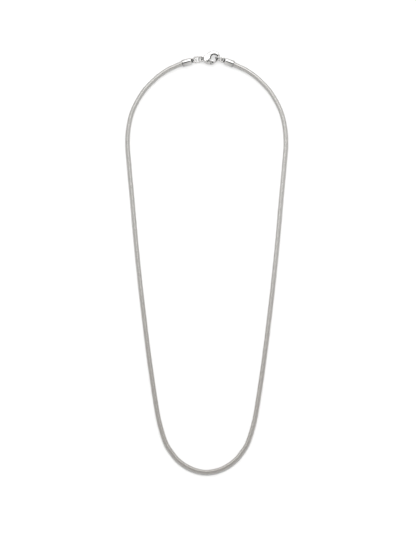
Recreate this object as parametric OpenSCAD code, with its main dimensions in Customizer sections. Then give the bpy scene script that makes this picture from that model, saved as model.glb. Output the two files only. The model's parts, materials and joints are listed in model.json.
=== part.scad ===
// Snake chain necklace, lying flat: a smooth round chain in two end caps, closed by a
// trigger clasp on two jump rings. Millimetres, +Z up, +Y towards the clasp.

/* [Chain] */
// Diameter of the snake chain
chain_d = 3; // [2.4:0.1:3.4]

/* [End caps] */
// Outer diameter of each cap
cap_d = 4.2; // [4:0.1:5]
// Length of each cap's barrel
cap_len = 6; // [5:0.1:8]
// Length of chain held inside each cap
cap_grip = 4.2; // [3:0.1:4.4]
// Chamfer round each cap's closed end
cap_chamfer = 0.6; // [0.2:0.1:0.8]

/* [Eyes] */
// Wire diameter of the eyes on the caps and on the clasp's tail
eye_wire_d = 0.8; // [0.6:0.05:0.85]
// Hole diameter of these eyes
eye_hole_d = 2; // [1.9:0.05:2.4]
// Turn of the caps' eyes about the cap's own axis
cap_eye_roll = 25; // [0:5:35]

/* [Jump rings] */
// Wire diameter of both jump rings
ring_wire_d = 0.8; // [0.6:0.05:0.85]
// Outer diameter of the ring on the clasp's tail
left_ring_d = 6; // [5.6:0.1:6.4]
// Outer diameter of the ring held in the claw
right_ring_d = 5.2; // [5:0.1:5.4]
// Lean of the left ring out of the flat
left_ring_lean = 48; // [46:1:52]
// Lean of the right ring out of the flat
right_ring_lean = 68; // [66:1:70]

/* [Clasp] */
// Length from the tail eye's centre to the end of the claw
clasp_len = 11.6; // [11.2:0.1:12.4]
// Outer diameter of the claw
claw_d = 7.2; // [6.8:0.1:7.6]
// Diameter of the hub that carries the lever
hub_d = 6; // [5.8:0.1:6.4]
// Width of the opening inside the claw
mouth_d = 3.9; // [3.6:0.1:4.1]
// Thickness of the hub
hub_t = 3; // [2.8:0.1:3.4]
// Thickness of the claw
claw_t = 2.2; // [2:0.1:2.3]
// Rounding of the claw's edges
edge_round = 0.45; // [0.3:0.05:0.5]
// Height of the clasp's middle above the surface
clasp_rise = 2.4; // [2.3:0.05:2.6]
// Thickness of the lever's tongue inside the hub's slot
tongue_t = 1.1; // [0.8:0.05:1.3]
// Diameter of the pin that the lever turns on
pin_d = 0.9; // [0.7:0.05:1]
// Angle that the lever opens inwards
lever_swing = 22; // [15:1:22]

/* [Fit] */
// Gap all round the chain inside its caps
chain_gap = 0.12; // [0.08:0.01:0.2]
// Gap between the lever and the clasp's body
lever_gap = 0.12; // [0.08:0.01:0.2]
// Gap all round the pin in its holes
pin_gap = 0.04; // [0.02:0.01:0.06]
// Gap between the right ring and the inside of the claw
hook_gap = 0.55; // [0.5:0.05:0.65]

/* [Hidden] */
$fn = 48;

// Metal of each piece
STEEL = [0.74, 0.74, 0.73];
BRIGHT_STEEL = [0.86, 0.86, 0.85];

// The chain lies along these points from the left cap to the right one
CHAIN_ROUTE = [
    [-20, 121.5, 1.9], [-25, 119, 1.6], [-32, 113.8, 1.5], [-40, 105, 1.5],
    [-46.5, 92.2, 1.5], [-49, 77, 1.5], [-48, 60, 1.5], [-46, 38, 1.5], [-44, 15, 1.5],
    [-41.5, -10, 1.5], [-38.5, -36, 1.5], [-35.5, -60, 1.5], [-32, -84, 1.5],
    [-29.5, -98, 1.5], [-26, -110, 1.5], [-22.5, -116.5, 1.5], [-17, -123, 1.5],
    [-9, -127.9, 1.5], [0, -129.8, 1.5], [9, -127.9, 1.5], [17, -123, 1.5],
    [22.5, -116.5, 1.5], [26, -110, 1.5], [29.5, -98, 1.5], [32, -84, 1.5],
    [35.5, -60, 1.5], [38.5, -36, 1.5], [41.5, -10, 1.5], [44, 15, 1.5],
    [46, 38, 1.5], [48, 60, 1.5], [49, 77, 1.5], [46.5, 92.2, 1.5], [40, 105, 1.5],
    [32, 113.8, 1.5], [25, 119, 1.6], [20.5, 121.2, 1.9]
];
ROUTE_RISE = 1.5;
SIDE_PITCH = 8.6;
BEND_PITCH = 6.6;
SIDE_FOOT = -95;
SIDE_TOP = 65;
CHAIN_SIDES = 8;

// Where the clasp lies and which way each cap points, seen from above
CLASP_AT = [-3.5, 126.13];
CLASP_TURN = 7;
LEFT_HEADING = 188;
LEFT_CAP_TURN = 16;
RIGHT_HEADING = -14;
RIGHT_CAP_TURN = -22;

// Wires and eyes
ring_wire_r = ring_wire_d / 2;
eye_wire_r = eye_wire_d / 2;
eye_mid_r = eye_hole_d / 2 + eye_wire_r;
EYE_SINK = 0.35;
RING_SLACK = 0.35;
left_mid_r = left_ring_d / 2 - ring_wire_r;
right_mid_r = right_ring_d / 2 - ring_wire_r;

// Clasp, seen from above with its tail eye at the origin and its claw towards +X
HUB_START = 1.3;
hub_at = [HUB_START + hub_d / 2, -0.4];
claw_at = [clasp_len - claw_d / 2, 0.6];
mouth_r = mouth_d / 2;
mouth_at = claw_at + [0.15, -0.7];
pivot_at = hub_at + [-0.6, -1.55];
cheek_r = 2.1;
belly_r = 4.45;
belly_at = [claw_at[0] - 2, 0.4];
tip_at = claw_at + [0.8, 0.3 - claw_d / 2];
tip_r = norm(tip_at - pivot_at);
GATE_TOP = 8;
GATE_FOOT = -92;
STOP_ANGLE = GATE_TOP + lever_swing + 3;
EDGE_TURN = 20;
HUB_STEP = 0.1;
slot_t = tongue_t + 2 * lever_gap;
slot_r = 1.5;
tongue_r = slot_r - lever_gap;
neck_w = 1.9;
neck_t = 1.6;

// Places of the rings and caps, from the clasp outwards
cap_axis_z = cap_d / 2;
mouth_world = CLASP_AT + turned(mouth_at, CLASP_TURN);
hook_reach = mouth_r - ring_wire_r - hook_gap;
left_ring_at = CLASP_AT + polar(left_mid_r - RING_SLACK, LEFT_HEADING);
left_eye_at = CLASP_AT + polar(2 * (left_mid_r - RING_SLACK), LEFT_HEADING);
right_ring_at = mouth_world + polar(hook_reach + right_mid_r, RIGHT_HEADING);
right_eye_at = mouth_world + polar(hook_reach + 2 * right_mid_r - 0.1, RIGHT_HEADING);
left_ring_z = (clasp_rise + cap_axis_z) / 2 + 0.1;
right_ring_z = clasp_rise + 0.1;
eye_to_mouth = eye_mid_r + eye_wire_r - EYE_SINK + cap_len;
left_mouth = left_eye_at + polar(eye_to_mouth, LEFT_CAP_TURN + 180);
right_mouth = right_eye_at + polar(eye_to_mouth, RIGHT_CAP_TURN);

function polar(r, a) = [r * cos(a), r * sin(a)];
function turned(p, a) = [p[0] * cos(a) - p[1] * sin(a), p[0] * sin(a) + p[1] * cos(a)];
function at_height(p, z) = [p[0], p[1], z];

// The four corners that join two circles into one rounded outline
function tangent_quad(c1, r1, c2, r2) =
    let (d = c2 - c1, a = atan2(d[1], d[0]), b = acos((r1 - r2) / norm(d)))
    [c1 + polar(r1, a + b), c2 + polar(r2, a + b), c2 + polar(r2, a - b), c1 + polar(r1, a - b)];

// The chain's line: the ends lie straight in the caps, and the rest is a smooth curve
left_inner = at_height(left_mouth + polar(cap_grip, LEFT_CAP_TURN), cap_axis_z);
right_inner = at_height(right_mouth - polar(cap_grip, RIGHT_CAP_TURN), cap_axis_z);
left_exit = at_height(left_mouth - polar(1, LEFT_CAP_TURN), cap_axis_z);
right_exit = at_height(right_mouth + polar(1, RIGHT_CAP_TURN), cap_axis_z);
lying_route = [for (p = CHAIN_ROUTE) at_height(p, p[2] - ROUTE_RISE + chain_d / 2)];
curve_points = concat([left_exit], lying_route, [right_exit]);
last = len(curve_points) - 1;

function bend(p, q, r, s, t) =
    q + 0.5 * t * (r - p) + t * t * (p - 2.5 * q + 2 * r - 0.5 * s)
    + t * t * t * (1.5 * (q - r) + 0.5 * (s - p));
function before(i) = i == 0 ? left_inner : curve_points[i - 1];
function after(i) = i == last ? right_inner : curve_points[i + 1];
function on_side(p) = p[1] > SIDE_FOOT && p[1] < SIDE_TOP;
function pitch(i) = on_side((curve_points[i] + curve_points[i + 1]) / 2) ? SIDE_PITCH : BEND_PITCH;
function steps(i) = max(1, round(norm(curve_points[i + 1] - curve_points[i]) / pitch(i)));
chain_line = concat(
    [left_inner],
    [for (i = [0:last - 1]) for (k = [0:steps(i) - 1])
        bend(before(i), curve_points[i], curve_points[i + 1], after(i + 1), k / steps(i))],
    [curve_points[last], right_inner]);

// Sweeps a tube with a corner at its lowest line along a list of points
module swept_tube(line, r, sides) {
    n = len(line);
    function heading(i) = line[min(i + 1, n - 1)] - line[max(i - 1, 0)];
    function ring_of(i) =
        let (t = heading(i) / norm(heading(i)), s = cross([0, 0, 1], t) / norm(cross([0, 0, 1], t)),
             u = cross(t, s))
        [for (k = [0:sides - 1]) line[i] + r * (cos(k * 360 / sides) * s + sin(k * 360 / sides) * u)];
    points = [for (i = [0:n - 1]) each ring_of(i)];
    walls = [for (i = [0:n - 2]) for (k = [0:sides - 1])
        let (a = i * sides + k, b = i * sides + (k + 1) % sides)
        [a, a + sides, b + sides, b]];
    start_face = [for (k = [0:sides - 1]) k];
    end_face = [for (k = [sides - 1:-1:0]) (n - 1) * sides + k];
    polyhedron(points, concat(walls, [start_face, end_face]));
}

module snake_chain() {
    color(STEEL) swept_tube(chain_line, chain_d / 2, CHAIN_SIDES);
}

// A wire ring with its hole along Z
module wire_ring(mid_r, wire_r) {
    rotate_extrude() translate([mid_r, 0]) circle(wire_r);
}

// A cap along +X from its mouth at the origin, with the eye soldered to its closed end
module end_cap(roll) {
    bore_r = chain_d / 2 + chain_gap;
    cap_r = cap_d / 2;
    difference() {
        rotate([0, 90, 0]) rotate_extrude() polygon([
            [0, 0], [cap_r, 0], [cap_r, cap_len - cap_chamfer],
            [cap_r - cap_chamfer, cap_len], [0, cap_len]]);
        translate([-1, 0, 0]) rotate([0, 90, 0]) cylinder(r = bore_r, h = cap_grip + chain_gap + 1);
    }
    translate([eye_to_mouth, 0, 0]) rotate([roll, 0, 0]) wire_ring(eye_mid_r, eye_wire_r);
}

module end_cap_left() {
    color(BRIGHT_STEEL) translate(at_height(left_mouth, cap_axis_z))
        rotate([0, 0, LEFT_CAP_TURN]) end_cap(-cap_eye_roll);
}

module end_cap_right() {
    color(BRIGHT_STEEL) translate(at_height(right_mouth, cap_axis_z))
        rotate([0, 0, RIGHT_CAP_TURN + 180]) end_cap(cap_eye_roll);
}

module jump_ring_left() {
    color(BRIGHT_STEEL) translate(at_height(left_ring_at, left_ring_z))
        rotate([0, 0, LEFT_HEADING - 180]) rotate([left_ring_lean, 0, 0])
        wire_ring(left_mid_r, ring_wire_r);
}

module jump_ring_right() {
    color(BRIGHT_STEEL) translate(at_height(right_ring_at, right_ring_z))
        rotate([0, 0, RIGHT_HEADING]) rotate([right_ring_lean, 0, 0])
        wire_ring(right_mid_r, ring_wire_r);
}

// Two circles and the straight sides between them
module pill(c1, r1, c2, r2) {
    translate(c1) circle(r1);
    translate(c2) circle(r2);
    polygon(tangent_quad(c1, r1, c2, r2));
}

// A slice of the ring round the pivot, from one radius and angle to another
module pivot_sector(inner_r, outer_r, from_a, to_a) {
    far = 2 * outer_r;
    mid = (from_a + to_a) / 2;
    translate(pivot_at) intersection() {
        difference() {
            circle(outer_r);
            circle(inner_r);
        }
        polygon([[0, 0], polar(far, from_a), polar(far, (from_a + mid) / 2), polar(far, mid),
                 polar(far, (to_a + mid) / 2), polar(far, to_a)]);
    }
}

// The clasp's outlines, drawn this far inside their true edge
module hull_outline(inset) {
    pill(hub_at, hub_d / 2 - inset, claw_at, claw_d / 2 - inset);
}

// The bulge under the lever that a thumb presses
module belly_outline(inset) {
    intersection() {
        translate(belly_at) circle(belly_r - inset);
        translate([0, -2 * belly_r]) square([2 * belly_r + hub_at[0], 2 * belly_r - 1]);
    }
}

// The closed clasp's outline without its tail
module silhouette(inset) {
    hull_outline(inset);
    belly_outline(inset);
}

module mouth_outline(inset) {
    translate(mouth_at) circle(mouth_r + inset);
}

// The hub and the claw, open where the lever closes them
module body_outline(inset) {
    difference() {
        silhouette(inset);
        mouth_outline(inset);
        pivot_sector(cheek_r - inset, tip_r + inset,
                     GATE_FOOT - 4 - EDGE_TURN * inset, STOP_ANGLE + EDGE_TURN * inset);
    }
}

// A flat plate centred on the clasp's middle plane
module plate(t) {
    translate([0, 0, -t / 2]) linear_extrude(t) children();
}

// How far the outline draws in on each layer of the rounded claw, and that layer's thickness
ROUNDING = [for (a = [0, 45, 90]) [edge_round * (1 - cos(a)), claw_t - 2 * edge_round * (1 - sin(a))]];

module clasp_place() {
    translate(at_height(CLASP_AT, clasp_rise)) rotate([0, 0, CLASP_TURN]) children();
}

module clasp_body() {
    neck_x = eye_mid_r;
    color(BRIGHT_STEEL) clasp_place() {
        wire_ring(eye_mid_r, eye_wire_r);
        difference() {
            union() {
                for (layer = ROUNDING) plate(layer[1]) body_outline(layer[0]);
                plate(hub_t) intersection() {
                    translate(hub_at) circle(hub_d / 2 - edge_round - HUB_STEP);
                    body_outline(edge_round + HUB_STEP);
                }
                translate([neck_x, -neck_w / 2, -neck_t / 2]) cube([hub_at[0] - neck_x, neck_w, neck_t]);
            }
            plate(slot_t) {
                translate(pivot_at) circle(slot_r);
                pivot_sector(slot_r / 2, cheek_r + 0.1, GATE_FOOT - 4, STOP_ANGLE + 2);
            }
            translate(at_height(pivot_at, -hub_t)) cylinder(d = pin_d + 2 * pin_gap, h = 2 * hub_t);
        }
    }
}

module gate_outline(inset) {
    difference() {
        intersection() {
            silhouette(inset);
            pivot_sector(cheek_r + lever_gap + inset, tip_r - lever_gap - inset, GATE_FOOT, GATE_TOP);
        }
        mouth_outline(inset);
    }
}

module clasp_lever() {
    color(BRIGHT_STEEL) clasp_place() difference() {
        union() {
            for (layer = ROUNDING) plate(layer[1]) gate_outline(layer[0]);
            plate(tongue_t) {
                translate(pivot_at) circle(tongue_r);
                intersection() {
                    silhouette(edge_round / 2);
                    pivot_sector(tongue_r / 2, cheek_r + 0.6, -50, GATE_TOP - 2);
                }
            }
        }
        translate(at_height(pivot_at, -hub_t)) cylinder(d = pin_d + 2 * pin_gap, h = 2 * hub_t);
    }
}

module clasp_pin() {
    color(STEEL) clasp_place() translate(at_height(pivot_at, -hub_t / 2)) cylinder(d = pin_d, h = hub_t);
}

snake_chain();
end_cap_left();
end_cap_right();
jump_ring_left();
jump_ring_right();
clasp_body();
clasp_lever();
clasp_pin();
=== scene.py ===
"""Dresses the snake chain necklace: its links, caps, rings and clasp, their steel, and a pale studio."""

from __future__ import annotations

import bisect
import json
import logging
import math
from dataclasses import dataclass
from enum import Enum

import bmesh
import bpy
from mathutils import Matrix, Vector
from mathutils.bvhtree import BVHTree

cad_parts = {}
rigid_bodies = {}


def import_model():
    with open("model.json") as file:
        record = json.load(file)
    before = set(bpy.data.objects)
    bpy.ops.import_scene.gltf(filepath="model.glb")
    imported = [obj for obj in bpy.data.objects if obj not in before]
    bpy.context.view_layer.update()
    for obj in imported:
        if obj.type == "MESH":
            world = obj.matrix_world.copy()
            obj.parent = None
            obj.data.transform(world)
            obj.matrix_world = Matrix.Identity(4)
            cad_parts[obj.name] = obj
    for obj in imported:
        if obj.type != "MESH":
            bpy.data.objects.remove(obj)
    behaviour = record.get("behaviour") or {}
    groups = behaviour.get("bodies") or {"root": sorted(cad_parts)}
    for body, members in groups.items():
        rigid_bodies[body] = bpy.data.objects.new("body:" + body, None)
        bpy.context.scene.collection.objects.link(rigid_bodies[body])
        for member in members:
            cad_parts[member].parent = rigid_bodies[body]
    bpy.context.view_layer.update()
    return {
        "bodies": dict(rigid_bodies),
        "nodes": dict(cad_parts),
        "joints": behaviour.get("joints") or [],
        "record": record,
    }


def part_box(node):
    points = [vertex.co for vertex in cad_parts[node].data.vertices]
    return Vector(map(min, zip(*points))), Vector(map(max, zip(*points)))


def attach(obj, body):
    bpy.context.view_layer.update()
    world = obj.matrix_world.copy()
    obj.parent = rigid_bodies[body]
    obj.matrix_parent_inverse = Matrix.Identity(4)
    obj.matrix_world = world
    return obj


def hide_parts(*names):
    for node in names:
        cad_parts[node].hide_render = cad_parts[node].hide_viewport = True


log = logging.getLogger("necklace")

MM = 0.001
UP = Vector((0.0, 0.0, 1.0))
MAIN_BODY = "necklace"
LEVER_BODY = "lever"

# The chain's line from the left cap to the right one, in millimetres, as in the part's source
CHAIN_ROUTE = (
    (-20, 121.5, 1.9), (-25, 119, 1.6), (-32, 113.8, 1.5), (-40, 105, 1.5), (-46.5, 92.2, 1.5),
    (-49, 77, 1.5), (-48, 60, 1.5), (-46, 38, 1.5), (-44, 15, 1.5), (-41.5, -10, 1.5),
    (-38.5, -36, 1.5), (-35.5, -60, 1.5), (-32, -84, 1.5), (-29.5, -98, 1.5), (-26, -110, 1.5),
    (-22.5, -116.5, 1.5), (-17, -123, 1.5), (-9, -127.9, 1.5), (0, -129.8, 1.5),
    (9, -127.9, 1.5), (17, -123, 1.5), (22.5, -116.5, 1.5), (26, -110, 1.5), (29.5, -98, 1.5),
    (32, -84, 1.5), (35.5, -60, 1.5), (38.5, -36, 1.5), (41.5, -10, 1.5), (44, 15, 1.5),
    (46, 38, 1.5), (48, 60, 1.5), (49, 77, 1.5), (46.5, 92.2, 1.5), (40, 105, 1.5),
    (32, 113.8, 1.5), (25, 119, 1.6), (20.5, 121.2, 1.9),
)


class Side(Enum):
    """The two ends of the chain, with the way that each end's cap points, in degrees."""

    LEFT = 16.0
    RIGHT = -22.0

    @property
    def label(self) -> str:
        """The side's name as the CAD nodes spell it."""
        return self.name.lower()


def heading(degrees: float) -> Vector:
    """The level direction at this angle from +X."""
    return Vector((math.cos(math.radians(degrees)), math.sin(math.radians(degrees)), 0.0))


def middle_of(node: str) -> Vector:
    """The middle of a CAD node's box."""
    low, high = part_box(node)
    return (Vector(low) + Vector(high)) / 2


def turned(axis: str, degrees: float) -> Matrix:
    """A turn about one of the axes, as a 4 by 4 matrix."""
    return Matrix.Rotation(math.radians(degrees), 4, axis)


# Nodes and materials


@dataclass
class NodeSheet:
    """Adds nodes to one shader tree and joins their sockets."""

    tree: bpy.types.NodeTree

    def add(self, kind: str, **settings: object) -> bpy.types.Node:
        """Adds a node of this kind.

        Args:
            kind: The node's type, such as ShaderNodeMath.
            settings: Values for the node's own properties.

        Returns:
            The new node.
        """
        node = self.tree.nodes.new(kind)
        for name, value in settings.items():
            setattr(node, name, value)
        return node

    def join(self, source: bpy.types.NodeSocket, target: bpy.types.NodeSocket) -> None:
        """Links an output to an input."""
        self.tree.links.new(source, target)

    def math(self, operation: str, first: object, second: object) -> bpy.types.NodeSocket:
        """Adds a Math node.

        Args:
            operation: The Math node's operation.
            first: A socket or a number.
            second: A socket or a number.

        Returns:
            The node's output.
        """
        node = self.add("ShaderNodeMath", operation=operation)
        for socket, value in zip(node.inputs, (first, second)):
            if isinstance(value, bpy.types.NodeSocket):
                self.join(value, socket)
            else:
                socket.default_value = value
        return node.outputs[0]

    def between(self, value: bpy.types.NodeSocket, low: float, high: float) -> bpy.types.NodeSocket:
        """Maps a mask from 0 to 1 onto the range from low to high."""
        node = self.add("ShaderNodeMapRange")
        self.join(value, node.inputs["Value"])
        node.inputs["To Min"].default_value = low
        node.inputs["To Max"].default_value = high
        return node.outputs[0]

    def cut(self, value: bpy.types.NodeSocket, low: float, high: float) -> bpy.types.NodeSocket:
        """Maps the range from low to high onto a mask from 0 to 1."""
        node = self.add("ShaderNodeMapRange", interpolation_type="SMOOTHSTEP")
        self.join(value, node.inputs["Value"])
        node.inputs["From Min"].default_value = low
        node.inputs["From Max"].default_value = high
        return node.outputs[0]


@dataclass
class EffectGroup:
    """One shader effect that several finishes share, built once as a node group."""

    name: str
    inputs: dict[str, float]
    output: str

    def start(self) -> tuple[bpy.types.NodeTree, NodeSheet, bpy.types.Node, bpy.types.Node]:
        """Makes the group with its sockets.

        Returns:
            The tree, a sheet to draw on, the group's input node and its output node.
        """
        tree = bpy.data.node_groups.new(self.name, "ShaderNodeTree")
        tree.interface.new_socket("Vector", in_out="INPUT", socket_type="NodeSocketVector")
        for label, value in self.inputs.items():
            socket = tree.interface.new_socket(label, in_out="INPUT", socket_type="NodeSocketFloat")
            socket.default_value = value
        tree.interface.new_socket(self.output, in_out="OUTPUT", socket_type="NodeSocketFloat")
        sheet = NodeSheet(tree)
        return tree, sheet, sheet.add("NodeGroupInput"), sheet.add("NodeGroupOutput")


@dataclass(frozen=True)
class FineScratches:
    """Hairline marks of polishing, laid over each other in three directions.

    A direction is the degrees that its lines are turned by, and how many times longer than wide they are.
    """

    directions: tuple[tuple[float, float], ...] = ((20.0, 40.0), (75.0, 55.0), (140.0, 32.0))
    lean: float = 0.3
    line_width: float = 0.012
    usual_lines: float = 4000.0

    def group(self) -> bpy.types.NodeTree:
        """Builds the shared group.

        Returns:
            A group that takes a vector and the lines' number per metre, and gives their mask.
        """
        effect = EffectGroup("fine_scratches", {"Lines": self.usual_lines}, "Scratches")
        tree, sheet, entry, exit_node = effect.start()
        masks = []
        for turn, stretch in self.directions:
            mapping = sheet.add("ShaderNodeMapping")
            mapping.inputs["Rotation"].default_value = (0.0, self.lean, math.radians(turn))
            mapping.inputs["Scale"].default_value = (1.0, 1.0 / stretch, 1.0 / stretch)
            noise = sheet.add("ShaderNodeTexNoise")
            noise.inputs["Detail"].default_value = 0.0
            sheet.join(entry.outputs["Vector"], mapping.inputs["Vector"])
            sheet.join(mapping.outputs["Vector"], noise.inputs["Vector"])
            sheet.join(entry.outputs["Lines"], noise.inputs["Scale"])
            off_line = sheet.math("ABSOLUTE", sheet.math("SUBTRACT", noise.outputs["Fac"], 0.5), 0.0)
            masks.append(sheet.math("SUBTRACT", 1.0, sheet.cut(off_line, 0.0, self.line_width)))
        both = sheet.math("MAXIMUM", masks[0], masks[1])
        sheet.join(sheet.math("MAXIMUM", both, masks[2]), exit_node.inputs["Scratches"])
        return tree


@dataclass(frozen=True)
class HandlingHaze:
    """Soft patches that fingers leave on bright metal."""

    detail: float = 5.0
    breakup: float = 0.62
    clean_below: float = 0.35
    dull_above: float = 0.68
    usual_patches: float = 300.0

    def group(self) -> bpy.types.NodeTree:
        """Builds the shared group.

        Returns:
            A group that takes a vector and the patches' number per metre, and gives their mask.
        """
        effect = EffectGroup("handling_haze", {"Patches": self.usual_patches}, "Haze")
        tree, sheet, entry, exit_node = effect.start()
        noise = sheet.add("ShaderNodeTexNoise")
        noise.inputs["Detail"].default_value = self.detail
        noise.inputs["Roughness"].default_value = self.breakup
        sheet.join(entry.outputs["Vector"], noise.inputs["Vector"])
        sheet.join(entry.outputs["Patches"], noise.inputs["Scale"])
        patches = sheet.cut(noise.outputs["Fac"], self.clean_below, self.dull_above)
        sheet.join(patches, exit_node.inputs["Haze"])
        return tree


@dataclass(frozen=True)
class SteelFinish:
    """A polished steel surface with hairlines and haze, and painted shade in its hollows."""

    name: str
    face_color: tuple[float, float, float]
    painted_shade_color: tuple[float, float, float]
    roughness_low: float
    roughness_high: float
    lines_per_metre: float
    patches_per_metre: float
    scratch_depth: float
    shade_attribute: str
    # Whether the creases that the curvature finds also get painted shade
    crease_shade: bool = True
    crease_sharp: float = 0.40
    crease_flat: float = 0.49
    # Painted shade: a darker, warmer colour that the chain takes towards its bend
    bend_shade_color: tuple[float, float, float] | None = None
    bend_reach: float = -90 * MM
    side_reach: float = 40 * MM
    scratch_share: float = 0.25
    scratch_strength: float = 0.35

    def painted_shade_mask(self, sheet: NodeSheet) -> bpy.types.NodeSocket:
        """Where painted shade darkens the surface, from the piece's own attribute and from the hollows of
        its curvature.

        Args:
            sheet: The material's sheet.

        Returns:
            The mask's socket.
        """
        marked = sheet.add("ShaderNodeAttribute", attribute_name=self.shade_attribute).outputs["Fac"]
        if not self.crease_shade:
            return marked
        pointiness = sheet.add("ShaderNodeNewGeometry").outputs["Pointiness"]
        flat = sheet.cut(pointiness, self.crease_sharp, self.crease_flat)
        return sheet.math("MAXIMUM", marked, sheet.math("SUBTRACT", 1.0, flat))

    def shade_towards_bend(self, sheet: NodeSheet, place: bpy.types.NodeSocket) -> bpy.types.NodeSocket:
        """The face colour with painted shade, a little darker and warmer along the chain's lower half.

        Args:
            sheet: The material's sheet.
            place: The object coordinates.

        Returns:
            The colour's socket.
        """
        axes = sheet.add("ShaderNodeSeparateXYZ")
        sheet.join(place, axes.inputs[0])
        blend = sheet.add("ShaderNodeMix", data_type="RGBA")
        blend.inputs["A"].default_value = (*self.bend_shade_color, 1.0)
        blend.inputs["B"].default_value = (*self.face_color, 1.0)
        sheet.join(sheet.cut(axes.outputs["Y"], self.bend_reach, self.side_reach), blend.inputs["Factor"])
        return blend.outputs["Result"]

    def material(self, scratches: bpy.types.NodeTree, haze: bpy.types.NodeTree) -> bpy.types.Material:
        """Builds the material.

        Args:
            scratches: The shared group of hairlines.
            haze: The shared group of soft patches.

        Returns:
            The finished material.
        """
        material = bpy.data.materials.new(self.name)
        material.use_nodes = True
        sheet = NodeSheet(material.node_tree)
        shader = material.node_tree.nodes["Principled BSDF"]
        shader.inputs["Metallic"].default_value = 1.0
        place = sheet.add("ShaderNodeTexCoord").outputs["Object"]

        line_node = sheet.add("ShaderNodeGroup", node_tree=scratches)
        line_node.inputs["Lines"].default_value = self.lines_per_metre
        sheet.join(place, line_node.inputs["Vector"])
        haze_node = sheet.add("ShaderNodeGroup", node_tree=haze)
        haze_node.inputs["Patches"].default_value = self.patches_per_metre
        sheet.join(place, haze_node.inputs["Vector"])

        tint = sheet.add("ShaderNodeMix", data_type="RGBA")
        tint.inputs["A"].default_value = (*self.face_color, 1.0)
        if self.bend_shade_color:
            sheet.join(self.shade_towards_bend(sheet, place), tint.inputs["A"])
        # Painted shade: the dark colour is mixed in where the shade mask is
        tint.inputs["B"].default_value = (*self.painted_shade_color, 1.0)
        sheet.join(self.painted_shade_mask(sheet), tint.inputs["Factor"])
        sheet.join(tint.outputs["Result"], shader.inputs["Base Color"])

        marks = sheet.math("MULTIPLY", line_node.outputs["Scratches"], self.scratch_share)
        wear = sheet.math("ADD", haze_node.outputs["Haze"], marks)
        roughness = sheet.between(wear, self.roughness_low, self.roughness_high)
        sheet.join(roughness, shader.inputs["Roughness"])

        bump = sheet.add("ShaderNodeBump", invert=True)
        bump.inputs["Strength"].default_value = self.scratch_strength
        bump.inputs["Distance"].default_value = self.scratch_depth
        sheet.join(line_node.outputs["Scratches"], bump.inputs["Height"])
        sheet.join(bump.outputs["Normal"], shader.inputs["Normal"])
        return material


@dataclass(frozen=True)
class PaperFloor:
    """The pale paper that the necklace lies on, its tone painted darker towards the lamps to even out
    their light.
    """

    name: str = "pale_floor"
    tone_near_bend: float = 0.7
    tone_near_clasp: float = 0.515
    reach: float = 0.16
    roughness: float = 0.85
    sheen: float = 0.2
    grain_scale: float = 900.0
    grain_strength: float = 0.05
    grain_depth: float = 0.1 * MM

    def material(self) -> bpy.types.Material:
        """Builds the floor's material with a faint paper grain.

        Returns:
            The finished material.
        """
        material = bpy.data.materials.new(self.name)
        material.use_nodes = True
        sheet = NodeSheet(material.node_tree)
        shader = material.node_tree.nodes["Principled BSDF"]
        place = sheet.add("ShaderNodeTexCoord").outputs["Object"]
        axes = sheet.add("ShaderNodeSeparateXYZ")
        sheet.join(place, axes.inputs[0])
        # Painted shade: the tone falls from the bend towards the clasp, under the lamps
        slope = sheet.add("ShaderNodeMapRange")
        sheet.join(axes.outputs["Y"], slope.inputs["Value"])
        slope.inputs["From Min"].default_value = -self.reach
        slope.inputs["From Max"].default_value = self.reach
        slope.inputs["To Min"].default_value = self.tone_near_bend
        slope.inputs["To Max"].default_value = self.tone_near_clasp
        sheet.join(slope.outputs[0], shader.inputs["Base Color"])
        shader.inputs["Roughness"].default_value = self.roughness
        shader.inputs["Specular IOR Level"].default_value = self.sheen
        noise = sheet.add("ShaderNodeTexNoise")
        noise.inputs["Scale"].default_value = self.grain_scale
        sheet.join(place, noise.inputs["Vector"])
        bump = sheet.add("ShaderNodeBump")
        bump.inputs["Strength"].default_value = self.grain_strength
        bump.inputs["Distance"].default_value = self.grain_depth
        sheet.join(noise.outputs["Fac"], bump.inputs["Height"])
        sheet.join(bump.outputs["Normal"], shader.inputs["Normal"])
        return material


# The chain's painted shade lies in its grooves and towards its bend
CHAIN_STEEL = SteelFinish(
    name="chain_steel",
    face_color=(0.495, 0.489, 0.474),
    bend_shade_color=(0.432, 0.418, 0.399),
    painted_shade_color=(0.20, 0.193, 0.184),
    roughness_low=0.15,
    roughness_high=0.27,
    lines_per_metre=2600.0,
    patches_per_metre=420.0,
    scratch_depth=0.004 * MM,
    shade_attribute="groove_shade",
    crease_shade=False,
)

# The polished pieces' painted shade comes from their own vertex attribute and from their creases
POLISHED_STEEL = SteelFinish(
    name="polished_steel",
    face_color=(0.58, 0.575, 0.566),
    painted_shade_color=(0.07, 0.0685, 0.0655),
    roughness_low=0.05,
    roughness_high=0.12,
    lines_per_metre=1700.0,
    patches_per_metre=260.0,
    scratch_depth=0.003 * MM,
    shade_attribute="shade_mark",
)


@dataclass
class Finishes:
    """The materials of the necklace, built once."""

    chain: bpy.types.Material
    polished: bpy.types.Material

    @classmethod
    def build(cls) -> Finishes:
        """Builds the shared effects and the two steels."""
        scratches = FineScratches().group()
        haze = HandlingHaze().group()
        return cls(CHAIN_STEEL.material(scratches, haze), POLISHED_STEEL.material(scratches, haze))


# Mesh work that several pieces share

MERGE_REACH = 0.001 * MM
ALONG_SLACK = 0.002 * MM
RADIUS_SLACK = 0.01 * MM
WIRE_SIDES = 20
RING_STEPS = 56
SEAM_ROUNDING = 0.12


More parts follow.
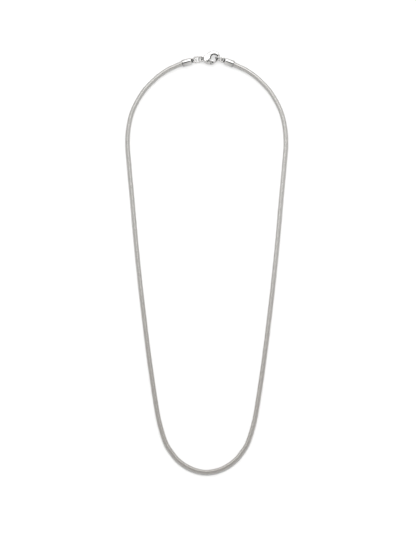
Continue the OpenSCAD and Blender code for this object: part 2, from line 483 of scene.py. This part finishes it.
def finished_piece(
    name: str,
    bm: bmesh.types.BMesh,
    material: bpy.types.Material,
    body: str = MAIN_BODY,
) -> bpy.types.Object:
    """Turns a bmesh into a piece of the necklace that rides on a body.

    Args:
        name: The piece's name.
        bm: Its shape in place, which is freed.
        material: Its finish.
        body: The CAD body that it moves with.

    Returns:
        The new object.
    """
    mesh = bpy.data.meshes.new(name)
    bm.to_mesh(mesh)
    bm.free()
    mesh.shade_smooth()
    mesh.materials.append(material)
    piece = bpy.data.objects.new(name, mesh)
    bpy.context.scene.collection.objects.link(piece)
    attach(piece, body)
    log.info("%s: %d faces on %s", name, len(mesh.polygons), body)
    return piece


def spun_solid(profile: list[tuple[float, float]], steps: int, closed: bool) -> bmesh.types.BMesh:
    """Spins an outline about the X axis into a closed solid.

    Args:
        profile: Places along the axis and radii, in order.
        steps: How many steps go round.
        closed: Whether the last point joins the first, as on a ring.

    Returns:
        A bmesh with its normals outwards.
    """
    bm = bmesh.new()
    verts = [bm.verts.new((along, 0.0, radius)) for along, radius in profile]
    pairs = list(zip(verts, verts[1:]))
    if closed:
        pairs.append((verts[-1], verts[0]))
    edges = [bm.edges.new(pair) for pair in pairs]
    bmesh.ops.spin(
        bm, geom=verts + edges, cent=(0.0, 0.0, 0.0), axis=(1.0, 0.0, 0.0),
        angle=2 * math.pi, steps=steps, use_merge=True,
    )
    bmesh.ops.remove_doubles(bm, verts=bm.verts[:], dist=MERGE_REACH)
    bmesh.ops.recalc_face_normals(bm, faces=bm.faces[:])
    return bm


def wire_ring(mid_radius: float, wire_radius: float, seam: float = 0.0) -> bmesh.types.BMesh:
    """Bends a round wire into a ring about the Z axis.

    Args:
        mid_radius: From the ring's centre to the wire's.
        wire_radius: The wire's own radius.
        seam: The width of the slit where the wire's ends meet, or 0 for a soldered ring.

    Returns:
        The ring in the XY plane, with its seam on +X.
    """
    bm = bmesh.new()
    stand = Matrix.Translation((mid_radius, 0.0, 0.0)) @ turned("X", 90)
    circle = bmesh.ops.create_circle(
        bm, cap_ends=False, segments=WIRE_SIDES, radius=wire_radius, matrix=stand,
    )
    sweep = 2 * math.pi - seam / mid_radius
    bmesh.ops.spin(
        bm, geom=circle["verts"] + bm.edges[:], cent=(0.0, 0.0, 0.0), axis=(0.0, 0.0, 1.0),
        angle=sweep, steps=RING_STEPS, use_merge=seam == 0.0,
    )
    if seam:
        rims = [edge for edge in bm.edges if edge.is_boundary]
        ends = bmesh.ops.holes_fill(bm, edges=rims, sides=0)["faces"]
        rim_edges = [edge for face in ends for edge in face.edges]
        rounded(bm, rim_edges, SEAM_ROUNDING * wire_radius, segments=2)
    bmesh.ops.recalc_face_normals(bm, faces=bm.faces[:])
    return bm


def rounded(bm: bmesh.types.BMesh, edges: list[bmesh.types.BMEdge], width: float, segments: int) -> None:
    """Rounds edges over by this width."""
    bmesh.ops.bevel(
        bm, geom=edges, offset=width, offset_type="OFFSET", segments=segments, profile=0.5,
        affect="EDGES", material=-1, clamp_overlap=True,
    )


def ring_edges(bm: bmesh.types.BMesh, along: float, radius: float) -> list[bmesh.types.BMEdge]:
    """The edges that run round the X axis at this place and radius."""
    def on_ring(vert: bmesh.types.BMVert) -> bool:
        reach = math.hypot(vert.co.y, vert.co.z)
        return abs(vert.co.x - along) < ALONG_SLACK and abs(reach - radius) < RADIUS_SLACK

    return [edge for edge in bm.edges if all(on_ring(vert) for vert in edge.verts)]


def add_mesh(bm: bmesh.types.BMesh, other: bmesh.types.BMesh, place: Matrix) -> None:
    """Copies another bmesh into this one at a place, and frees it."""
    mesh = bpy.data.meshes.new("passing")
    bmesh.ops.transform(other, matrix=place, verts=other.verts[:])
    other.to_mesh(mesh)
    other.free()
    bm.from_mesh(mesh)
    bpy.data.meshes.remove(mesh)


# The chain


@dataclass
class ChainLine:
    """A smooth line through the chain's chosen points, measured along its length."""

    points: list[Vector]
    distances: list[float]

    @classmethod
    def through(cls, knots: list[Vector], samples: int = 24) -> ChainLine:
        """Draws the curve that passes through all knots but the first and last.

        Args:
            knots: The points, with one more at each end that only gives the direction.
            samples: How many points stand for each stretch.

        Returns:
            The measured line, which starts at the first knot and ends at the last.
        """
        points = [knots[0]]
        for p, q, r, s in zip(knots, knots[1:], knots[2:], knots[3:]):
            for step in range(samples):
                points.append(cls.bend(p, q, r, s, step / samples))
        points += [knots[-2], knots[-1]]
        distances = [0.0]
        for here, there in zip(points, points[1:]):
            distances.append(distances[-1] + (there - here).length)
        return cls(points, distances)

    @staticmethod
    def bend(p: Vector, q: Vector, r: Vector, s: Vector, t: float) -> Vector:
        """The point a share t of the way from q to r, on the curve that p and s steer."""
        linear = q + 0.5 * t * (r - p)
        square = t * t * (p - 2.5 * q + 2 * r - 0.5 * s)
        return linear + square + t ** 3 * (1.5 * (q - r) + 0.5 * (s - p))

    @property
    def length(self) -> float:
        """The whole length of the line."""
        return self.distances[-1]

    def frame_at(self, distance: float) -> Matrix:
        """The place on the line at this distance, with X along it and Z upwards."""
        spot = bisect.bisect_right(self.distances, distance, 1, len(self.points) - 1)
        start, end = self.points[spot - 1], self.points[spot]
        span = self.distances[spot] - self.distances[spot - 1]
        along = (end - start).normalized()
        across = UP.cross(along).normalized()
        frame = Matrix((along, across, along.cross(across))).transposed().to_4x4()
        frame.translation = start.lerp(end, (distance - self.distances[spot - 1]) / span)
        return frame


@dataclass
class SnakeChain:
    """The round chain of nested wavy links, one behind the other.

    The places along a link, and the room that the first and last link leave, are shares of the pitch.
    """

    finish: bpy.types.Material
    left_mouth: Vector
    right_mouth: Vector
    grip: float = 4.2 * MM
    lead: float = 1.0 * MM
    outer_radius: float = 1.445 * MM
    lip_radius: float = 1.31 * MM
    skirt_radius: float = 1.08 * MM
    pitch: float = 0.72 * MM
    lip_place: float = -0.49
    crown_start: float = -0.32
    crown_end: float = 0.36
    skirt_place: float = 0.80
    first_link: float = 0.5
    end_room: float = 1.3
    wave: float = 0.2 * MM
    lip_shade: float = 0.8
    sides: int = 16
    lobes: int = 2

    def line(self) -> ChainLine:
        """The chain's line from inside the left cap to inside the right one.

        Returns:
            The measured line.
        """
        into_left, out_right = heading(Side.LEFT.value), heading(Side.RIGHT.value)
        knots = [self.left_mouth + self.grip * into_left, self.left_mouth - self.lead * into_left]
        knots += [Vector(point) * MM for point in CHAIN_ROUTE]
        knots += [self.right_mouth + self.lead * out_right, self.right_mouth - self.grip * out_right]
        return ChainLine.through(knots)

    def link_profile(self) -> list[tuple[float, float]]:
        """One link's section: a thin back lip, a flat crown and a skirt that goes under the next link.

        Returns:
            Places along the chain and radii, in order.
        """
        return [
            (self.lip_place * self.pitch, self.lip_radius),
            (self.crown_start * self.pitch, self.outer_radius),
            (self.crown_end * self.pitch, self.outer_radius),
            (self.skirt_place * self.pitch, self.skirt_radius),
        ]

    def link_mesh(self) -> bpy.types.Mesh:
        """Spins one link and gives its rims their wave.

        Returns:
            A mesh along +X, with a vertex attribute of painted shade that is 1 in the grooves.
        """
        bm = spun_solid(self.link_profile(), self.sides, closed=True)
        groove_shade = bm.verts.layers.float.new("groove_shade")
        for vert in bm.verts:
            around = math.atan2(vert.co.z, vert.co.y)
            depth = self.outer_radius - math.hypot(vert.co.y, vert.co.z)
            # Painted shade, deeper where the link dips below its crown
            vert[groove_shade] = min(1.0, depth / (self.outer_radius - self.lip_radius) * self.lip_shade)
            vert.co.x += self.wave * math.cos(self.lobes * around)
        mesh = bpy.data.meshes.new("link")
        bm.to_mesh(mesh)
        bm.free()
        return mesh

    def build(self) -> bpy.types.Object:
        """Sets the links one behind the other along the line.

        Returns:
            The chain, which stands for the plain tube.
        """
        line = self.line()
        link = self.link_mesh()
        count = round(line.length / self.pitch)
        spacing = (line.length - self.end_room * self.pitch) / (count - 1)
        bm = bmesh.new()
        for number in range(count):
            bm.from_mesh(link)
            bm.verts.ensure_lookup_table()
            fresh = bm.verts[-len(link.vertices):]
            place = line.frame_at(self.first_link * self.pitch + number * spacing)
            bmesh.ops.transform(bm, matrix=place, verts=fresh)
        bpy.data.meshes.remove(link)
        log.info("chain of %d links, %.1f mm long", count, line.length / MM)
        chain = finished_piece("snake_links", bm, self.finish)
        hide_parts("snake_chain")
        return chain


# The caps and rings


@dataclass
class EndCap:
    """A turned cap on one end of the chain, with a wire eye soldered to its closed end."""

    side: Side
    finish: bpy.types.Material
    radius: float = 2.1 * MM
    length: float = 6.0 * MM
    chamfer: float = 0.6 * MM
    bore_radius: float = 1.62 * MM
    bore_depth: float = 4.32 * MM
    eye_wire_radius: float = 0.4 * MM
    eye_hole_radius: float = 1.0 * MM
    eye_sink: float = 0.35 * MM
    eye_roll: float = 25.0
    face_round: float = 0.16 * MM
    shoulder_round: float = 0.2 * MM
    mouth_round: float = 0.26 * MM
    bore_round: float = 0.12 * MM
    bead_radius: float = 0.85 * MM
    bead_shape: tuple[float, float, float] = (0.42, 1.15, 0.72)
    rim_reach: float = 0.35 * MM
    rim_shade: float = 1.4
    root_place: float = 0.3 * MM
    root_reach: float = 0.6 * MM
    root_shade: float = 1.8
    steps: int = 72

    @property
    def node(self) -> str:
        """The CAD node that this cap stands for."""
        return f"end_cap_{self.side.label}"

    @property
    def mouth(self) -> Vector:
        """The centre of the cap's open end, found from the outermost corner of its CAD box."""
        low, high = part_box(self.node)
        turn = math.radians(abs(self.side.value))
        inset = self.radius * math.sin(turn)
        across = low[0] + inset if self.side is Side.LEFT else high[0] - inset
        return Vector((across, low[1] + self.radius * math.cos(turn), self.radius))

    def place(self) -> Matrix:
        """The frame whose X axis runs from the cap's mouth to its eye."""
        turn = self.side.value + (0.0 if self.side is Side.LEFT else 180.0)
        return Matrix.Translation(self.mouth) @ turned("Z", turn)

    def barrel(self) -> bmesh.types.BMesh:
        """Turns the barrel with its bore, and rounds its rims.

        Returns:
            The barrel along +X from its mouth.
        """
        shoulder = self.length - self.chamfer
        face_radius = self.radius - self.chamfer
        profile = [
            (self.length, 0.0), (self.length, face_radius), (shoulder, self.radius), (0.0, self.radius),
            (0.0, self.bore_radius), (self.bore_depth, self.bore_radius), (self.bore_depth, 0.0),
        ]
        bm = spun_solid(profile, self.steps, closed=False)
        for along, radius, width, segments in (
            (self.length, face_radius, self.face_round, 3),
            (shoulder, self.radius, self.shoulder_round, 3),
            (0.0, self.radius, self.mouth_round, 4),
            (0.0, self.bore_radius, self.bore_round, 2),
        ):
            rounded(bm, ring_edges(bm, along, radius), width, segments)
        return bm

    def solder(self) -> bmesh.types.BMesh:
        """The low bead of solder between the barrel and the eye."""
        bm = bmesh.new()
        flat = Matrix.Diagonal((*self.bead_shape, 1.0))
        bmesh.ops.create_uvsphere(bm, u_segments=24, v_segments=12, radius=self.bead_radius, matrix=flat)
        return bm

    def paint_cap_shade(self, bm: bmesh.types.BMesh) -> None:
        """Paints shade on the rim that takes the chain and round the soldered root.

        Args:
            bm: The whole cap along +X from its mouth.
        """
        shade_mark = bm.verts.layers.float.new("shade_mark")
        for vert in bm.verts:
            # Painted shade at the mouth's rim and round the soldered root
            rim = 1.0 - vert.co.x / self.rim_reach
            root = 1.0 - abs(vert.co.x - self.length - self.root_place) / self.root_reach
            vert[shade_mark] = min(1.0, max(0.0, self.rim_shade * rim, self.root_shade * root))

    def build(self) -> bpy.types.Object:
        """Makes the whole cap.

        Returns:
            The cap, which stands for its plain CAD node.
        """
        mid_radius = self.eye_hole_radius + self.eye_wire_radius
        reach = mid_radius + self.eye_wire_radius - self.eye_sink + self.length
        roll = -self.eye_roll if self.side is Side.LEFT else self.eye_roll
        bm = bmesh.new()
        add_mesh(bm, self.barrel(), Matrix.Identity(4))
        eye_place = Matrix.Translation((reach, 0.0, 0.0)) @ turned("X", roll)
        add_mesh(bm, wire_ring(mid_radius, self.eye_wire_radius), eye_place)
        solder_place = Matrix.Translation((self.length, 0.0, 0.0)) @ turned("X", roll)
        add_mesh(bm, self.solder(), solder_place)
        self.paint_cap_shade(bm)
        bmesh.ops.transform(bm, matrix=self.place(), verts=bm.verts[:])
        cap = finished_piece(f"turned_cap_{self.side.label}", bm, self.finish)
        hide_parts(self.node)
        return cap


@dataclass
class JumpRing:
    """A ring of round wire, closed by hand, so that a fine seam shows."""

    side: Side
    finish: bpy.types.Material
    outer_diameter: float
    heading: float
    lean: float
    seam_turn: float
    wire_radius: float = 0.4 * MM
    seam: float = 0.05 * MM

    def build(self) -> bpy.types.Object:
        """Bends the ring where its CAD node lies.

        Returns:
            The ring, which stands for its plain CAD node.
        """
        node = f"jump_ring_{self.side.label}"
        bm = wire_ring(self.outer_diameter / 2 - self.wire_radius, self.wire_radius, self.seam)
        pose = turned("Z", self.heading) @ turned("X", self.lean) @ turned("Z", self.seam_turn)
        place = Matrix.Translation(middle_of(node)) @ pose
        bmesh.ops.transform(bm, matrix=place, verts=bm.verts[:])
        ring = finished_piece(f"wire_ring_{self.side.label}", bm, self.finish)
        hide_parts(node)
        return ring


# The clasp


@dataclass
class TriggerClasp:
    """The cast clasp: its body, the lever that closes it, and the rivet that the lever turns on.

    Places in its plane are measured from the tail eye, with X along the clasp. The hub and the claw are
    circles that a straight outline joins, the belly bulges below them, and a ridge runs along the crest.
    """

    nodes: dict[str, bpy.types.Object]
    finish: bpy.types.Material
    tail_eye: tuple[float, float, float] = (-3.5 * MM, 126.13 * MM, 2.4 * MM)
    turn: float = 7.0
    hub: tuple[float, float] = (4.3 * MM, -0.4 * MM)
    hub_radius: float = 3.0 * MM
    claw: tuple[float, float] = (8.0 * MM, 0.6 * MM)
    claw_radius: float = 3.6 * MM
    belly: tuple[float, float] = (6.0 * MM, 0.4 * MM)
    belly_radius: float = 4.45 * MM
    mouth: tuple[float, float] = (8.15 * MM, -0.1 * MM)
    mouth_radius: float = 1.95 * MM
    slot_half: float = 0.67 * MM
    rim_share: float = 0.06
    crest: float = -0.6 * MM
    crest_share: float = 0.3
    upper_fall: float = 0.76
    lower_fall: float = 0.5
    lower_power: int = 4
    slack: float = 0.01 * MM
    band_foot: float = 0.2
    band_slack: float = 0.001 * MM
    band_start: float = 5.0 * MM
    band_blend: float = 1.8 * MM
    tail_blend: float = 0.5 * MM
    rim_round: float = 0.14 * MM
    shade_edge: float = 0.42 * MM
    shade_fade: float = 0.22 * MM
    rim_line: float = 0.2 * MM
    rim_fade: float = 0.08 * MM
    rim_base: float = 0.4 * MM
    base_steepness: float = 2.0
    side_steepness: float = 5.0
    neck_end: float = 1.4 * MM
    weld: float = 0.002 * MM
    grain: float = 0.08 * MM
    softening: int = 7
    softening_pull: float = 0.5
    rivet_radius: float = 0.45 * MM
    rivet_dome: float = 0.14 * MM
    rivet_sides: int = 40

    @property
    def place(self) -> Matrix:
        """The frame of the clasp's plane."""
        return Matrix.Translation(self.tail_eye) @ turned("Z", self.turn)

    def relief(self, point: Vector) -> float:
        """How high the cast face stands at a point.

        The hub has a ridge, and the claw a band that climbs from the outer rim to the mouth.

        Args:
            point: A point in the clasp's plane.

        Returns:
            The height as a share of the full one, from the rim's share to 1.
        """
        start, end = Vector(self.hub), Vector(self.claw)
        axis = (end - start).normalized()
        length = (end - start).length
        along = (point - start).dot(axis)
        across = axis.cross(point - start)
        share = min(1.0, max(0.0, along / length))
        radius = self.hub_radius + share * (self.claw_radius - self.hub_radius)
        beyond = along - share * length
        chord = math.sqrt(max(0.0, radius * radius - beyond * beyond))
        below = chord
        if across < 0.0:
            below = max(chord, self.belly_radius - (point - Vector(self.belly)).length - across)
        crest = max(self.crest, -self.crest_share * chord)
        if across > crest:
            fall = min(1.0, (across - crest) / (chord - crest + self.slack))
            ridge = 1.0 - self.upper_fall * fall
        else:
            fall = min(1.0, (crest - across) / (below + crest + self.slack))
            ridge = 1.0 - self.lower_fall * fall - self.lower_fall * fall ** self.lower_power
        depth = max(0.0, min(chord - across, below + across))
        inner = max(0.0, (point - Vector(self.mouth)).length - self.mouth_radius)
        climb = depth / (depth + inner + self.band_slack)
        level = self.band_foot + (1.0 - self.band_foot) * climb
        band_share = min(1.0, max(0.0, (point.x - self.band_start) / self.band_blend))
        height = (ridge + (level - ridge) * band_share) * min(1.0, depth / self.rim_round)
        if along < 0.0:
            tail_share = min(1.0, max(0.0, ((point - start).length - radius) / self.tail_blend))
            height = max(height, tail_share)
        return self.rim_share + (1.0 - self.rim_share) * height

    def dome(self, bm: bmesh.types.BMesh) -> None:
        """Gives the two faces their relief, like a cast clasp's, and leaves the slot alone.

        Args:
            bm: The blank in place.
        """
        place = self.place
        into = place.inverted()
        for vert in bm.verts:
            local = into @ vert.co
            excess = abs(local.z) - self.slot_half
            if excess > 0.0:
                height = self.slot_half + excess * self.relief(local.xy)
                local.z = math.copysign(height, local.z)
                vert.co = place @ local

    def inside_outline(self, point: Vector) -> float:
        """How far a point lies inside the outline that the hub and the claw share."""
        start, end = Vector(self.hub), Vector(self.claw)
        share = min(1.0, max(0.0, (point - start).dot(end - start) / (end - start).length_squared))
        radius = self.hub_radius + share * (self.claw_radius - self.hub_radius)
        return radius - (point - start.lerp(end, share)).length

    def paint_clasp_shade(self, bm: bmesh.types.BMesh) -> None:
        """Paints shade as a fine line round the upper rim, and a dark painted reflection along the claw's
        inner edge.

        Args:
            bm: The body in place.
        """
        shade_mark = bm.verts.layers.float.new("shade_mark")
        into = self.place.inverted()
        for vert in bm.verts:
            local = into @ vert.co
            reach = (local.xy - Vector(self.mouth)).length - self.mouth_radius
            # Painted reflection along the mouth's edge, and painted shade in a line round the upper rim
            mouth_edge = 1.0 - (reach - self.shade_edge) / self.shade_fade
            rim = 0.0
            if reach > self.shade_fade and local.x > self.neck_end:
                line = 1.0 - (self.inside_outline(local.xy) - self.rim_line) / self.rim_fade
                wall = self.base_steepness * abs(local.z) / self.rim_base - self.base_steepness
                upper = 1.0 + local.y / self.hub_radius * self.side_steepness
                rim = min(1.0, line, wall, upper)
            vert[shade_mark] = min(1.0, max(0.0, mouth_edge, rim))

    def cast(self, node: str, body: str, name: str) -> bpy.types.Object:
        """Softens a CAD node's edges, as casting and tumbling do.

        Args:
            node: The CAD node to start from.
            body: The body that the piece moves with.
            name: The new piece's name.

        Returns:
            The cast piece, which stands for the node.
        """
        bm = bmesh.new()
        bm.from_mesh(self.nodes[node].data)
        bmesh.ops.remove_doubles(bm, verts=bm.verts[:], dist=self.weld)
        rough = bpy.data.meshes.new(name)
        bm.to_mesh(rough)
        bm.free()
        blank = bpy.data.objects.new(name, rough)
        bpy.context.scene.collection.objects.link(blank)
        remesh = blank.modifiers.new("even_skin", "REMESH")
        remesh.mode = "VOXEL"
        remesh.voxel_size = self.grain
        depsgraph = bpy.context.evaluated_depsgraph_get()
        soft = bpy.data.meshes.new_from_object(blank.evaluated_get(depsgraph))
        bpy.data.objects.remove(blank)
        skin = bmesh.new()
        skin.from_mesh(soft)
        self.dome(skin)
        for _ in range(self.softening):
            bmesh.ops.smooth_vert(
                skin, verts=skin.verts[:], factor=self.softening_pull,
                use_axis_x=True, use_axis_y=True, use_axis_z=True,
            )
        # Only the body gets the painted shade and reflection of its rim and mouth
        if body == MAIN_BODY:
            self.paint_clasp_shade(skin)
        piece = finished_piece(name, skin, self.finish, body)
        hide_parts(node)
        return piece

    def rivet(self) -> bpy.types.Object:
        """The pin, with its two ends hammered round.

        Returns:
            The rivet, which stands for the plain pin.
        """
        low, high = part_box("clasp_pin")
        depth = high[2] - low[2]
        bm = bmesh.new()
        bmesh.ops.create_cone(
            bm, cap_ends=True, segments=self.rivet_sides, radius1=self.rivet_radius,
            radius2=self.rivet_radius, depth=depth, matrix=Matrix.Translation(middle_of("clasp_pin")),
        )
        rims = [edge for edge in bm.edges if any(len(face.verts) > 4 for face in edge.link_faces)]
        rounded(bm, rims, self.rivet_dome, segments=4)
        bmesh.ops.recalc_face_normals(bm, faces=bm.faces[:])
        pin = finished_piece("lever_rivet", bm, self.finish)
        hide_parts("clasp_pin")
        return pin

    def build(self) -> bpy.types.Object:
        """Makes the body, the lever and the rivet.

        Returns:
            The body, which the rings touch.
        """
        claw = self.cast("clasp_body", MAIN_BODY, "cast_claw")
        self.cast("clasp_lever", LEVER_BODY, "cast_lever")
        self.rivet()
        return claw


@dataclass
class ContactShade:
    """Painted shade on the pieces where they come near each other, as where wires cross."""

    pieces: list[bpy.types.Object]
    touching: float = 0.2 * MM
    clear: float = 0.75 * MM

    @staticmethod
    def tree(piece: bpy.types.Object) -> BVHTree:
        """The piece's surface, ready to be measured to."""
        corners = [vert.co for vert in piece.data.vertices]
        return BVHTree.FromPolygons(corners, [face.vertices for face in piece.data.polygons])

    def mark(self) -> None:
        """Adds painted shade to each piece where another piece is near."""
        trees = [self.tree(piece) for piece in self.pieces]
        for number, piece in enumerate(self.pieces):
            marks = piece.data.attributes.get("shade_mark")
            if marks is None:
                marks = piece.data.attributes.new("shade_mark", "FLOAT", "POINT")
            others = [tree for place, tree in enumerate(trees) if place != number]
            for vert, mark in zip(piece.data.vertices, marks.data):
                gaps = [tree.find_nearest(vert.co, self.clear)[3] for tree in others]
                gap = min((gap for gap in gaps if gap is not None), default=self.clear)
                near = (self.clear - gap) / (self.clear - self.touching)
                mark.value = max(mark.value, min(1.0, near))


# The studio


@dataclass
class SoftBox:
    """A flat light that faces the necklace, and may be kept out of the steel's reflections."""

    name: str
    azimuth: float
    elevation: float
    distance: float
    width: float
    depth: float
    power: float
    mirrored: bool = True

    def build(self, aim: Vector) -> None:
        """Hangs the light.

        Args:
            aim: The point that it faces.
        """
        data = bpy.data.lights.new(self.name, "AREA")
        data.shape = "RECTANGLE"
        data.size = self.width
        data.size_y = self.depth
        data.energy = self.power
        lamp = bpy.data.objects.new(self.name, data)
        rise = math.radians(self.elevation)
        offset = heading(self.azimuth) * math.cos(rise) + UP * math.sin(rise)
        lamp.location = aim + self.distance * offset
        lamp.rotation_euler = (-offset).to_track_quat("-Z", "Y").to_euler()
        lamp.visible_glossy = self.mirrored
        bpy.context.scene.collection.objects.link(lamp)


@dataclass
class Studio:
    """The floor, the lights and the camera straight above."""

    floor_size: float = 6.0
    view_height: float = 0.3441
    camera_x: float = 0.81 * MM
    camera_y: float = -9.18 * MM
    camera_distance: float = 2.0
    sensor_height: float = 24.0
    clasp_y: float = 0.12
    room_tint: tuple[float, float, float] = (1.0, 0.995, 0.985)
    room: float = 1.0
    hood: float = 0.06
    hood_lean: float = 2.0
    hood_core: float = 13.0
    hood_edge: float = 18.0

    def floor(self) -> None:
        """Lays the floor under the necklace."""
        bm = bmesh.new()
        bmesh.ops.create_grid(bm, x_segments=2, y_segments=2, size=self.floor_size / 2)
        mesh = bpy.data.meshes.new("floor")
        bm.to_mesh(mesh)
        bm.free()
        mesh.materials.append(PaperFloor().material())
        floor = bpy.data.objects.new("floor", mesh)
        bpy.context.scene.collection.objects.link(floor)

    def surroundings(self) -> None:
        """Sets the even light of the room, with the camera's dark hood overhead."""
        world = bpy.data.worlds.new("pale_room")
        world.use_nodes = True
        bpy.context.scene.world = world
        sheet = NodeSheet(world.node_tree)
        background = world.node_tree.nodes["Background"]
        background.inputs["Color"].default_value = (*self.room_tint, 1.0)
        lean = math.radians(self.hood_lean)
        facing = sheet.add("ShaderNodeVectorMath", operation="DOT_PRODUCT")
        facing.inputs[1].default_value = (0.0, -math.sin(lean), math.cos(lean))
        sheet.join(sheet.add("ShaderNodeTexCoord").outputs["Generated"], facing.inputs[0])
        edge, core = (math.cos(math.radians(angle)) for angle in (self.hood_edge, self.hood_core))
        shade = sheet.cut(facing.outputs["Value"], edge, core)
        sheet.join(sheet.between(shade, self.room, self.hood), background.inputs["Strength"])

    def lights(self) -> None:
        """Hangs a soft box close beyond the clasp, and a small lamp almost above it for the shadows."""
        key_box = SoftBox(
            "key_box", azimuth=90.0, elevation=48.0, distance=0.40, width=0.56, depth=0.40, power=1.3,
        )
        shadow_lamp = SoftBox(
            "shadow_lamp", azimuth=90.0, elevation=86.0, distance=0.60, width=0.06, depth=0.06,
            power=3.22, mirrored=False,
        )
        for lamp in (key_box, shadow_lamp):
            lamp.build(Vector((0.0, self.clasp_y, 0.0)))

    def camera(self) -> None:
        """Hangs the camera straight above, framed as the photograph is."""
        data = bpy.data.cameras.new("above")
        data.sensor_fit = "VERTICAL"
        data.sensor_height = self.sensor_height
        data.lens = self.sensor_height * self.camera_distance / self.view_height
        camera = bpy.data.objects.new("above", data)
        camera.location = (self.camera_x, self.camera_y, self.camera_distance)
        bpy.context.scene.collection.objects.link(camera)
        bpy.context.scene.camera = camera

    def build(self) -> None:
        """Sets up the whole studio."""
        bpy.context.scene.view_settings.view_transform = "Standard"
        self.floor()
        self.surroundings()
        self.lights()
        self.camera()
        log.info("studio ready")


def main() -> None:
    """Loads the frame, dresses each part of the necklace and sets up the studio."""
    logging.basicConfig(level=logging.INFO, format="%(message)s")
    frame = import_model()
    finishes = Finishes.build()
    left_cap = EndCap(Side.LEFT, finishes.polished)
    right_cap = EndCap(Side.RIGHT, finishes.polished)
    SnakeChain(finishes.chain, left_cap.mouth, right_cap.mouth).build()
    left_ring = JumpRing(
        Side.LEFT, finishes.polished, outer_diameter=6.0 * MM, heading=8.0, lean=48.0, seam_turn=115.0,
    )
    right_ring = JumpRing(
        Side.RIGHT, finishes.polished, outer_diameter=5.2 * MM, heading=-14.0, lean=68.0, seam_turn=60.0,
    )
    clasp = TriggerClasp(frame["nodes"], finishes.polished)
    linked = [maker.build() for maker in (left_cap, right_cap, left_ring, right_ring, clasp)]
    # Painted shade where the caps, rings and clasp come near each other
    ContactShade(linked).mark()
    Studio().build()


if __name__ == "__main__":
    main()
